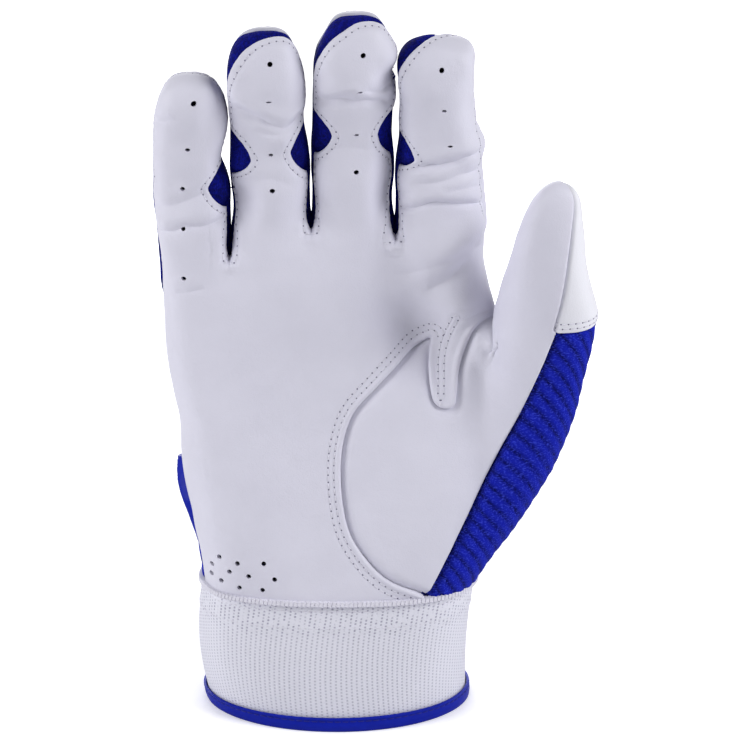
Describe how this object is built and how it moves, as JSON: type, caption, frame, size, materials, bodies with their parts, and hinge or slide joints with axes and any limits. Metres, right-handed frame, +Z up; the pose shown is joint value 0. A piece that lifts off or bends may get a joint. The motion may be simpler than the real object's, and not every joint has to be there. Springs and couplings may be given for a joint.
{
  "type": "batting glove",
  "caption": "Right-hand batting glove with leather palm, stretch side gussets, mesh back, elastic cuff and wrist strap; the fingers, thumb and strap bend.",
  "frame": {"origin": "centre of the glove's outline seen from above, on the surface that its hem stands on", "axes": "+Z up along the fingers, -Y the palm side, +X the thumb side"},
  "size_m": [0.1316, 0.0716, 0.2205],
  "materials": {
    "palm_leather": "smooth goat leather, satin",
    "back_leather": "smooth synthetic leather, satin",
    "gusset_knit": "fine stretch knit, matt",
    "back_mesh": "ribbed stretch mesh, matt",
    "cuff_knit": "elastic knit, matt",
    "hem_binding": "folded binding tape, satin",
    "strap_leather": "synthetic leather, satin",
    "hook_nylon": "hook tape",
    "loop_nylon": "loop tape, brushed",
    "cotton_tape": "woven tape, matt"
  },
  "bodies": {
    "hand": {"palm_leather": "palm_leather", "thumb_leather": "palm_leather", "thumb_quirk": "palm_leather", "back_mesh": "back_mesh", "cuff_knit": "cuff_knit", "hem_binding": "hem_binding", "cuff_seam_tape": "cotton_tape", "loop_patch": "loop_nylon", "size_label": "cotton_tape"},
    "pinky_base": {"pinky_front_base": "palm_leather", "pinky_back_base": "back_leather", "pinky_gusset_left": "gusset_knit", "pinky_gusset_right": "gusset_knit"},
    "pinky_tip": {"pinky_front_tip": "palm_leather", "pinky_back_tip": "back_leather", "pinky_gusset_tip": "gusset_knit"},
    "ring_base": {"ring_front_base": "palm_leather", "ring_back_base": "back_leather", "ring_gusset_left": "gusset_knit", "ring_gusset_right": "gusset_knit"},
    "ring_tip": {"ring_front_tip": "palm_leather", "ring_back_tip": "back_leather", "ring_gusset_tip": "gusset_knit"},
    "middle_base": {"middle_front_base": "palm_leather", "middle_back_base": "back_leather", "middle_gusset_left": "gusset_knit", "middle_gusset_right": "gusset_knit"},
    "middle_tip": {"middle_front_tip": "palm_leather", "middle_back_tip": "back_leather", "middle_gusset_tip": "gusset_knit"},
    "index_base": {"index_front_base": "palm_leather", "index_back_base": "back_leather", "index_gusset_left": "gusset_knit", "index_gusset_right": "palm_leather"},
    "index_tip": {"index_front_tip": "palm_leather", "index_back_tip": "back_leather", "index_gusset_tip": "gusset_knit"},
    "thumb_base": {"thumb_front_base": "palm_leather", "thumb_back_base": "back_leather"},
    "thumb_tip": {"thumb_front_tip": "palm_leather", "thumb_back_tip": "back_leather"},
    "strap": {"wrist_strap": "strap_leather", "hook_patch": "hook_nylon"}
  },
  "joints": [
    {"name": "pinky_knuckle", "type": "hinge", "parent": "hand", "child": "pinky_base", "pos_m": [-0.05445, -0.01223, 0.13784], "axis": [1, 0, 0], "range_deg": [0, 75], "stiffness_Nm_per_rad": 0.05, "springref_deg": -2.86},
    {"name": "pinky_middle", "type": "hinge", "parent": "pinky_base", "child": "pinky_tip", "pos_m": [-0.055, -0.01429, 0.16627], "axis": [1, 0, 0], "range_deg": [0, 80], "stiffness_Nm_per_rad": 0.05, "springref_deg": -2.86},
    {"name": "ring_knuckle", "type": "hinge", "parent": "hand", "child": "ring_base", "pos_m": [-0.03155, -0.0127, 0.14179], "axis": [1, 0, 0], "range_deg": [0, 75], "stiffness_Nm_per_rad": 0.05, "springref_deg": -2.86},
    {"name": "ring_middle", "type": "hinge", "parent": "ring_base", "child": "ring_tip", "pos_m": [-0.03174, -0.01622, 0.17536], "axis": [1, 0, 0], "range_deg": [0, 80], "stiffness_Nm_per_rad": 0.05, "springref_deg": -2.86},
    {"name": "middle_knuckle", "type": "hinge", "parent": "hand", "child": "middle_base", "pos_m": [-0.00655, -0.01265, 0.1458], "axis": [1, 0, 0], "range_deg": [0, 75], "stiffness_Nm_per_rad": 0.05, "springref_deg": -2.86},
    {"name": "middle_middle", "type": "hinge", "parent": "middle_base", "child": "middle_tip", "pos_m": [-0.00645, -0.01689, 0.18017], "axis": [1, 0, 0], "range_deg": [0, 80], "stiffness_Nm_per_rad": 0.05, "springref_deg": -2.86},
    {"name": "index_knuckle", "type": "hinge", "parent": "hand", "child": "index_base", "pos_m": [0.01965, -0.01224, 0.14284], "axis": [1, 0, 0], "range_deg": [0, 75], "stiffness_Nm_per_rad": 0.05, "springref_deg": -2.86},
    {"name": "index_middle", "type": "hinge", "parent": "index_base", "child": "index_tip", "pos_m": [0.01853, -0.01701, 0.17703], "axis": [1, 0, 0], "range_deg": [0, 80], "stiffness_Nm_per_rad": 0.05, "springref_deg": -2.86},
    {"name": "thumb_base_flex", "type": "hinge", "parent": "hand", "child": "thumb_base", "pos_m": [0.05121, -0.02732, 0.12402], "axis": [0.9784, -0.1725, -0.1141], "range_deg": [0, 40], "stiffness_Nm_per_rad": 0.05, "springref_deg": -2.86},
    {"name": "thumb_tip_flex", "type": "hinge", "parent": "thumb_base", "child": "thumb_tip", "pos_m": [0.0471, -0.03221, 0.14595], "axis": [0.9784, -0.1725, -0.1141], "range_deg": [0, 60], "stiffness_Nm_per_rad": 0.05, "springref_deg": -2.86},
    {"name": "strap_hinge", "type": "hinge", "parent": "hand", "child": "strap", "pos_m": [0.01582, 0.02615, 0.022], "axis": [0, 0, 1], "range_deg": [-110, 0], "stiffness_Nm_per_rad": 0.01, "springref_deg": 2.86}
  ]
}
